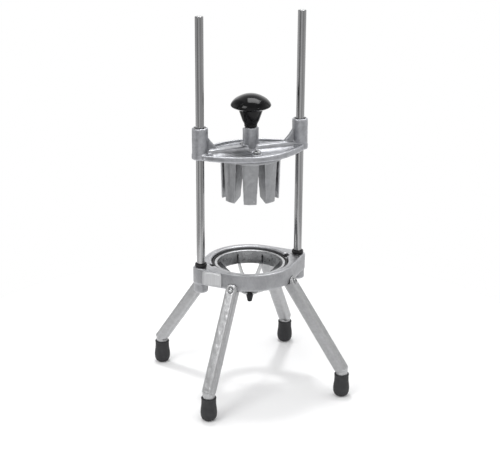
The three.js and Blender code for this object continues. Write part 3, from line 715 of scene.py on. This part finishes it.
class WEDGER_OT_feet(bpy.types.Operator):
    """Four rubber boots: a domed sole, a slight waist and a beaded rim."""

    bl_idname = "wedger.feet"
    bl_label = "Rubber boots"

    def execute(self, context):
        tall = high("foot_rear_right").z
        bulge = half_width("foot_rear_right")
        bore = 7.4 * MM
        wall = 1.2 * MM
        rim = bore + wall
        sole_height = 5 * MM
        sole = [(0, 0), (0.4 * bulge, 0), (0.66 * bulge, 0.025 * tall), (0.85 * bulge, 0.085 * tall)]
        side = [(0.965 * bulge, 0.19 * tall), (bulge, 0.34 * tall), (0.965 * bulge, 0.5 * tall)]
        waist = [(rim - 0.15 * MM, 0.68 * tall), (rim - 0.25 * MM, 0.86 * tall)]
        waist.append((rim - 0.2 * MM, 0.93 * tall))
        bead = [(rim, 0.945 * tall), (rim, 0.985 * tall), (rim - 0.3 * MM, tall), (bore, tall)]
        inside = [(bore, sole_height), (0, sole_height)]
        profile = eased(sole + side + waist + bead + inside, 0.9 * MM)
        mesh = finished(turned(profile, segments=56), "boot", smooth_angle=50)
        nodes = of_each("foot", CORNERS)
        place = {"Radius": FOOT_RADIUS, "First_angle": FIRST_CORNER}
        repeated("rubber_boots", mesh, "foot_rubber", nodes, Count=len(nodes), **place)
        return {"FINISHED"}


class WEDGER_OT_rods(bpy.types.Operator):
    """Two bright guide rods with chamfered, centre-drilled ends, their screws and rubber bumpers."""

    bl_idname = "wedger.rods"
    bl_label = "Guide rods"

    def execute(self, context):
        bottom = low("guide_rod_right").z
        top = high("guide_rod_right").z
        hole = 2.8 * MM
        hole_top = bottom + 12.3 * MM
        chamfer = 0.6 * MM
        top_chamfer = 0.7 * MM
        foot = [(0, hole_top), (hole, hole_top), (hole, bottom), (ROD_RADIUS - chamfer, bottom)]
        shaft = [(ROD_RADIUS, bottom + chamfer), (ROD_RADIUS, top - top_chamfer)]
        end = [(ROD_RADIUS - top_chamfer, top), (1.5 * MM, top)]
        centre_drill = [(0.5 * MM, top - 0.9 * MM), (0, top - 1.5 * MM)]
        profile = eased(foot + shaft + end + centre_drill, 0.18 * MM, steps=2)
        mesh = finished(turned(profile), "rod", smooth_angle=30)
        nodes = of_each("guide_rod", SIDES)
        repeated("bright_guide_rods", mesh, "rod_steel", nodes, Count=2, Radius=ROD_X)
        head_height = 2.8 * MM
        reach = high("rod_screw_right").z - low("rod_screw_right").z - head_height
        screw = socket_screw(shank=2.5 * MM, head=4.6 * MM, head_height=head_height, reach=reach)
        screw.transform(Matrix.Rotation(math.pi, 4, "X"))
        nodes = of_each("rod_screw", SIDES)
        seat = low("rod_screw_right").z + head_height
        repeated("rod_screws", screw, "screw_steel", nodes, Count=2, Radius=ROD_X, Height=seat)
        bumper = sleeve("rod_bumper_right", "bumper", rounding=0.85 * MM, steps=4, smooth_angle=60)
        nodes = of_each("rod_bumper", SIDES)
        repeated("rod_bumpers", bumper, "seal_rubber", nodes, Count=2, Radius=ROD_X)
        return {"FINISHED"}


def sleeve(node, name, rounding, steps, smooth_angle):
    """A ring that fits round a rod, as wide and as tall as a CAD node."""
    inner = ROD_RADIUS + CLEARANCE
    outer = half_width(node)
    floor, lid = low(node).z, high(node).z
    section = [(inner, floor), (outer, floor), (outer, lid), (inner, lid), (inner, floor)]
    return finished(turned(eased(section, rounding, steps), segments=48), name, smooth_angle)


def socket_screw(shank, head, head_height, reach):
    """A round-headed screw along Z, its seat at zero, with a six-sided socket and some thread."""
    pitch = 0.16 * shank + 0.35 * MM
    thread = []
    level = -reach + 0.4 * shank
    while level < -pitch:
        thread += [(shank - 0.18 * pitch, level), (shank, level + 0.5 * pitch)]
        level += pitch
    dome = []
    dome_steps = 6
    flat = 0.52 * head
    for step in range(dome_steps + 1):
        angle = step / dome_steps * math.pi / 2
        across = flat + (head - flat) * math.cos(angle)
        dome.append((across, 0.35 * head_height + 0.65 * head_height * math.sin(angle)))
    socket = 0.42 * head
    lip = 0.12 * MM
    profile = [(0, -reach), (0.7 * shank, -reach), *thread, (shank, 0), (head - 0.1 * MM, 0)]
    profile += [(head, 0.12 * head_height), *dome]
    first = len(profile)
    profile += [(socket + lip, head_height), (socket, head_height - lip)]
    profile += [(socket, 0.4 * head_height), (0, 0.3 * head_height)]
    return finished(turned(profile, 48, (first, first + 1, first + 2)), "screw", smooth_angle=34)


# ---------------------------------------------------------------- operators: blade cartridge

class WEDGER_OT_cartridge(bpy.types.Operator):
    """Blade cartridge: machined ring, eight ground blades, hub, rubber gasket and two screws."""

    bl_idname = "wedger.cartridge"
    bl_label = "Blade cartridge"

    def execute(self, context):
        sizes = context.scene.wedger_sizes
        ring = copy_of("blade_ring", "machined_blade_ring")
        span = (BLADE_RING_LOW, high("blade_ring").z)
        inner = 38 * MM
        skirt = 3.2 * MM
        gasket_width = 2.4 * MM
        walls = (inner, inner + skirt, RING_OUTER - gasket_width - CLEARANCE, RING_OUTER)
        cast_skin(ring, 0.5 * MM, [(0, 0, radius, *span) for radius in walls], 4, 0.01 * MM, seed=21)
        settle(ring, "ring_aluminium", ["blade_ring"])
        hub = copy_of("blade_hub", "dark_hub")
        span = (low("blade_hub").z, high("blade_hub").z)
        cast_skin(hub, 0.3 * MM, [(0, 0, half_width("blade_hub"), *span)], 2)
        settle(hub, "hub_steel", ["blade_hub"])
        gasket = copy_of("blade_gasket", "rubber_gasket")
        span = (low("blade_gasket").z, high("blade_gasket").z)
        walls = (RING_OUTER, RING_OUTER - gasket_width)
        cast_skin(gasket, 0.4 * MM, [(0, 0, radius, *span) for radius in walls], 3, 0.01 * MM, seed=23)
        settle(gasket, "seal_rubber", ["blade_gasket"])
        head_height = 2.2 * MM
        mesh = socket_screw(shank=1.25 * MM, head=2.3 * MM, head_height=head_height, reach=10 * MM)
        seat = high("cartridge_screw_right").z - head_height
        place = {"Radius": centre("cartridge_screw_right").x, "Height": seat}
        nodes = of_each("cartridge_screw", SIDES)
        repeated("cartridge_screws", mesh, "screw_steel", nodes, Count=2, **place)
        nodes = of_each("blade", range(1, BLADES + 1))
        repeated("ground_blades", self.blade(sizes), "blade_steel", nodes, Count=BLADES)
        return {"FINISHED"}

    def blade(self, sizes):
        """A blade towards +X: a dished plate, its upper edge ground thin on both sides."""
        bm = bmesh.new()
        start, end = low("blade_1").x, high("blade_1").x
        foot_hub, edge_ring = low("blade_1").z, high("blade_1").z
        edge_hub = high("blade_hub").z + 1 * MM
        foot_ring = edge_ring - 10.9 * MM
        foot_bend = foot_hub + 1 * MM
        edge_bend = edge_hub + 3 * MM
        half = sizes.blade_thickness / 2
        corner = 0.1 * MM
        half_edge = 0.06 * MM
        steps = 28
        sections = []
        for step in range(steps + 1):
            along = step / steps
            x = curve(start, 0.5 * end, end, along)
            foot = curve(foot_hub, foot_bend, foot_ring, along)
            edge = curve(edge_hub, edge_bend, edge_ring, along)
            shoulder = edge - min(sizes.blade_grind, 0.6 * (edge - foot))
            one_side = ((half - corner, foot), (half, foot + corner), (half, shoulder), (half_edge, edge))
            other_side = [(-y, z) for y, z in reversed(one_side)]
            outline = (other_side[-1], *one_side, *other_side[:-1])
            sections.append([bm.verts.new((x, y, z)) for y, z in outline])
        for one, two in zip(sections, sections[1:]):
            for side in range(len(one)):
                after = (side + 1) % len(one)
                bm.faces.new((one[side], one[after], two[after], two[side]))
        bm.faces.new(sections[0])
        bm.faces.new(sections[-1])
        return finished(bm, "blade", smooth_angle=12)


class WEDGER_OT_name_plate(bpy.types.Operator):
    """Blank satin plate with a raised border on the base's front cheek."""

    bl_idname = "wedger.name_plate"
    bl_label = "Blank name plate"

    def execute(self, context):
        source = frame["nodes"]["name_plate"].data
        points = vectors(source.vertices, "co")
        middle = points.mean(axis=0)
        turn = math.pi + math.acos((RING_RADIUS - EAR_RADIUS) / ROD_X)
        outward = Vector((math.cos(turn), math.sin(turn), 0))
        along = Vector((-outward.y, outward.x, 0))
        reach = (points - middle) @ np.array((along, (0, 0, 1), outward)).T
        box_low, box_high = reach.min(axis=0), reach.max(axis=0)
        half = (box_high - box_low) / 2
        offset = (box_high + box_low) / 2
        place = Matrix((along, (0, 0, 1), outward)).transposed().to_4x4()
        shift = Vector(middle) + along * offset[0] + outward * offset[2]
        shift.z += offset[1]
        bm = bmesh.new()
        back = ((0, -1.0), (0, 0.6))
        border = ((0.2 * MM, 1.0), (0.9 * MM, 1.0))
        groove = ((1.1 * MM, 0.1), (1.6 * MM, 0.1))
        face = ((1.9 * MM, 0.7),)
        rings = back + border + groove + face
        loops = [self.outline(bm, half, inset, level * half[2]) for inset, level in rings]
        for one, two in zip(loops, loops[1:]):
            for step in range(len(one)):
                after = (step + 1) % len(one)
                bm.faces.new((one[step], one[after], two[after], two[step]))
        bm.faces.new(loops[0])
        bm.faces.new(loops[-1])
        mesh = finished(bm, "plate", smooth_angle=35)
        mesh.transform(Matrix.Translation(shift) @ place)
        settle(linked("blank_plate", mesh), "plate_aluminium", ["name_plate"])
        return {"FINISHED"}

    def outline(self, bm, half, inset, level):
        """A rounded rectangle, corner by corner, `inset` from the plate's outline."""
        corner = max(2.5 * MM - inset, 0.3 * MM)
        steps = 8
        made = []
        for quarter in range(4):
            x = (half[0] - inset - corner) * (1 if quarter in (0, 3) else -1)
            y = (half[1] - inset - corner) * (1 if quarter in (0, 1) else -1)
            for step in range(steps + 1):
                angle = (quarter + step / steps) * math.pi / 2
                across = x + corner * math.cos(angle)
                up = y + corner * math.sin(angle)
                made.append(bm.verts.new((across, up, level)))
        return made


# ---------------------------------------------------------------- operators: head

class WEDGER_OT_head(bpy.types.Operator):
    """Cast head: plate, spine, guide bosses and post in one skin, with bushings and screws."""

    bl_idname = "wedger.head"
    bl_label = "Cast head"

    def execute(self, context):
        sizes = context.scene.wedger_sizes
        piece = copy_of("head_casting", "cast_head")
        span = (low("head_casting").z, high("head_casting").z)
        bore = half_width("guide_bushing_right") + CLEARANCE
        waviness = 1.6 * sizes.cast_waviness
        rounds = [(0, 0, sizes.post_radius, *span)]
        for x in (-ROD_X, ROD_X):
            rounds.append((x, 0, sizes.head_boss_radius, *span))
            rounds.append((x, 0, bore, *span))
        cast_skin(piece, sizes.cast_grain, rounds, 7, waviness, seed=31)
        settle(piece, "polished_aluminium", ["head_casting"])
        mesh = sleeve("guide_bushing_right", "bushing", rounding=0.3 * MM, steps=3, smooth_angle=40)
        nodes = of_each("guide_bushing", SIDES)
        repeated("guide_bushings", mesh, "bushing_plastic", nodes, Count=2, Radius=ROD_X)
        head_height = 3 * MM
        reach = high("pusher_screw_rear").z - low("pusher_screw_rear").z - head_height
        mesh = socket_screw(shank=2.5 * MM, head=4.4 * MM, head_height=head_height, reach=reach)
        seat = high("pusher_screw_rear").z - head_height
        place = {"Radius": centre("pusher_screw_rear").y, "Height": seat}
        nodes = ["pusher_screw_front", "pusher_screw_rear"]
        repeated("pusher_screws", mesh, "screw_steel", nodes, Count=2, First_angle=TURN / 4, **place)
        stud = frame["nodes"]["knob_stud"]
        stud.data.materials.clear()
        stud.data.materials.append(finish_of("screw_steel"))
        return {"FINISHED"}


class WEDGER_OT_pusher(bpy.types.Operator):
    """Pusher block: a disc with eight tapered fingers that pass between the blades."""

    bl_idname = "wedger.pusher"
    bl_label = "Pusher block"

    def execute(self, context):
        sizes = context.scene.wedger_sizes
        piece = copy_of("pusher_block", "cast_pusher")
        disc_height = 3 * MM
        top = high("pusher_block").z
        rounds = [(0, 0, half_width("pusher_block"), top - disc_height, top)]
        cast_skin(piece, 0.55 * MM, rounds, 3, sizes.cast_waviness, seed=41)
        settle(piece, "pusher_aluminium", ["pusher_block"])
        return {"FINISHED"}


class WEDGER_OT_knob(bpy.types.Operator):
    """Glossy black knob: straight neck, flared cone and a mushroom cap."""

    bl_idname = "wedger.knob"
    bl_label = "Knob"

    def execute(self, context):
        bottom, top = low("knob").z, high("knob").z
        radius = half_width("knob")
        cap = 17.6 * MM
        flare = top - cap
        stud_top = bottom + 19.5 * MM
        bore = 4.3 * MM
        neck = 7.4 * MM
        inside = [(0, stud_top), (bore, stud_top), (bore, bottom)]
        stem = [(neck, bottom), (neck, bottom + 3.4 * MM), (neck + 2.2 * MM, bottom + 7.4 * MM)]
        cone = [(14.2 * MM, flare - 0.2 * MM), (14.4 * MM, flare)]
        underside = ((0.7, 0.012), (0.8, 0.05), (0.88, 0.1), (0.95, 0.15), (0.99, 0.2), (1.0, 0.25))
        shoulder = ((0.992, 0.31), (0.965, 0.38), (0.92, 0.47), (0.86, 0.56), (0.765, 0.67))
        crown = ((0.65, 0.76), (0.51, 0.855), (0.36, 0.93), (0.19, 0.98), (0, 1.0))
        dome = [(radius * across, flare + cap * up) for across, up in underside + shoulder + crown]
        profile = eased(inside + stem + cone + dome, 1.6 * MM, steps=5)
        mesh = finished(turned(profile, segments=96), "knob", smooth_angle=60)
        settle(linked("black_knob", mesh), "knob_phenolic", ["knob"])
        return {"FINISHED"}


# ---------------------------------------------------------------- stage

FLOOR_RADIUS = 0.42
ROOM_HEADING = math.radians(67.7)
CAMERA_PLACE = (-0.51683, -1.26315, 0.67180)
CAMERA_AIM = (-0.00016, 0.00006, 0.1954)
CAMERA_ROLL = math.radians(0.345)


def softbox(name, place, aim, side, power, mirrored=True):
    """A square lamp turned towards a point. One that isn't mirrored leaves no glint."""
    lamp = bpy.data.lights.new(name, "AREA")
    lamp.shape = "RECTANGLE"
    lamp.size = side
    lamp.size_y = side
    lamp.energy = power
    piece = bpy.data.objects.new(name, lamp)
    piece.location = place
    piece.rotation_euler = (Vector(aim) - Vector(place)).to_track_quat("-Z", "Y").to_euler()
    piece.visible_glossy = mirrored
    bpy.context.scene.collection.objects.link(piece)


class Surround(Nodes):
    """A white room: even light on matt surfaces, and in the reflections a graded one, brighter beyond
    the object than on the camera's side, darker to the left, with a bright ceiling panel."""

    def __init__(self, heading):
        world = bpy.data.worlds.new("studio")
        world.use_nodes = True
        super().__init__(world.node_tree)
        self.way = self.node("ShaderNodeTexCoord").outputs["Generated"]
        self.up = (0, 0, 1)
        self.beyond = (math.cos(heading), math.sin(heading), 0)
        self.left = (-math.sin(heading), math.cos(heading), 0)
        bpy.context.scene.world = world

    def grade(self, axis, stops):
        """A grey that changes with how far a direction leans along an axis, from -1 to 1."""
        lean = self.node("ShaderNodeVectorMath", operation="DOT_PRODUCT")
        lean.inputs[1].default_value = axis
        self.link(self.way, lean.inputs[0])
        lift = self.node("ShaderNodeMapRange")
        lift.inputs["From Min"].default_value = -1
        self.link(lean.outputs["Value"], lift.inputs["Value"])
        return self.ramp(lift.outputs["Result"], [((position + 1) / 2, grey) for position, grey in stops])

    def product(self, first, *others):
        for other in others:
            first = self.mix(1, first, other, "MULTIPLY")
        return first

    def build(self, even_light, panel_light):
        lower = ((-1, 1.0), (-0.32, 1.0), (0, 0.75))
        upper = ((0.34, 1.1), (0.6, 0.75), (0.8, 0.5))
        heights = self.grade(self.up, lower + upper)
        depths = self.grade(self.beyond, ((-1, 0.78), (0, 0.95), (1, 1.4)))
        right_half = ((-1, 0.85), (-0.85, 0.9), (-0.7, 0.7), (-0.5, 0.8), (-0.35, 1.0))
        left_half = ((0, 1.05), (0.35, 1.1), (0.5, 0.42), (0.74, 0.42), (0.88, 0.95), (1, 0.9))
        sides = self.grade(self.left, right_half + left_half)
        room = self.product(heights, depths, sides)
        across = self.grade(self.left, ((-0.52, 0), (-0.47, 1), (0.13, 1), (0.18, 0)))
        along = self.grade(self.beyond, ((-0.03, 0), (0.02, 1), (0.45, 1), (0.5, 0)))
        above = self.grade(self.up, ((0.3, 0), (0.4, 1)))
        panel = self.product(across, along, above)
        reflected = self.mix(panel, room, (panel_light, panel_light, panel_light))
        rays = self.node("ShaderNodeLightPath").outputs
        cool_light = (even_light, even_light, 1.006 * even_light)
        seen = self.mix(rays["Is Camera Ray"], cool_light, (1, 1, 1))
        light = self.mix(rays["Is Glossy Ray"], seen, reflected)
        self.link(light, self.tree.nodes["Background"].inputs["Color"])


class WEDGER_OT_stage(bpy.types.Operator):
    """Pale floor, white room, soft lights and the camera."""

    bl_idname = "wedger.stage"
    bl_label = "Floor, lights and camera"

    def execute(self, context):
        bm = bmesh.new()
        bmesh.ops.create_circle(bm, cap_ends=True, segments=96, radius=FLOOR_RADIUS)
        mesh = finished(bm, "floor")
        mesh.transform(Matrix.Translation((0, 0, CAD_BOX[0][2])))
        mesh.materials.append(floor_paint())
        linked("pale_floor", mesh)
        Surround(ROOM_HEADING).build(even_light=0.85, panel_light=7.5)
        middle = (0, 0, 0.2)
        softbox("overhead", (0.03, 0.36, 1.7), middle, side=0.16, power=8, mirrored=False)
        softbox("window", (-0.95, -0.4, 1.25), middle, side=0.5, power=5)
        softbox("fill", (0.45, -1.1, 0.75), middle, side=0.16, power=0.8)
        context.scene.view_settings.view_transform = "Standard"
        lens = bpy.data.cameras.new("camera")
        lens.sensor_width = 36
        lens.lens = 89.78
        lens.clip_start = 0.05
        lens.clip_end = 60
        camera = bpy.data.objects.new("camera", lens)
        camera.location = CAMERA_PLACE
        aim = Vector(CAMERA_AIM) - camera.location
        roll = Matrix.Rotation(CAMERA_ROLL, 3, "Z")
        camera.rotation_euler = (aim.to_track_quat("-Z", "Y").to_matrix() @ roll).to_euler()
        context.scene.collection.objects.link(camera)
        context.scene.camera = camera
        return {"FINISHED"}


# ---------------------------------------------------------------- panel and registration

OPERATORS = (
    WEDGER_OT_stage,
    WEDGER_OT_base,
    WEDGER_OT_legs,
    WEDGER_OT_feet,
    WEDGER_OT_rods,
    WEDGER_OT_cartridge,
    WEDGER_OT_name_plate,
    WEDGER_OT_head,
    WEDGER_OT_pusher,
    WEDGER_OT_knob,
)


class WEDGER_PT_pieces(bpy.types.Panel):
    """Buttons for the pieces, with the sizes and finishes that they read."""

    bl_idname = "WEDGER_PT_pieces"
    bl_label = "Wedger"
    bl_space_type = "VIEW_3D"
    bl_region_type = "UI"
    bl_category = "Wedger"

    def draw(self, context):
        for operator in OPERATORS:
            self.layout.operator(operator.bl_idname)
        for group in (context.scene.wedger_sizes, context.scene.wedger_finishes):
            column = self.layout.column()
            for name in group.__annotations__:
                column.prop(group, name)


CLASSES = (WedgerSizes, WedgerFinishes, *OPERATORS, WEDGER_PT_pieces)


def register():
    for each in CLASSES:
        bpy.utils.register_class(each)
    bpy.types.Scene.wedger_sizes = bpy.props.PointerProperty(type=WedgerSizes)
    bpy.types.Scene.wedger_finishes = bpy.props.PointerProperty(type=WedgerFinishes)


def unregister():
    del bpy.types.Scene.wedger_finishes
    del bpy.types.Scene.wedger_sizes
    for each in reversed(CLASSES):
        bpy.utils.unregister_class(each)


def main():
    register()
    for operator in OPERATORS:
        group, name = operator.bl_idname.split(".")
        getattr(getattr(bpy.ops, group), name)()


if __name__ == "__main__":
    main()
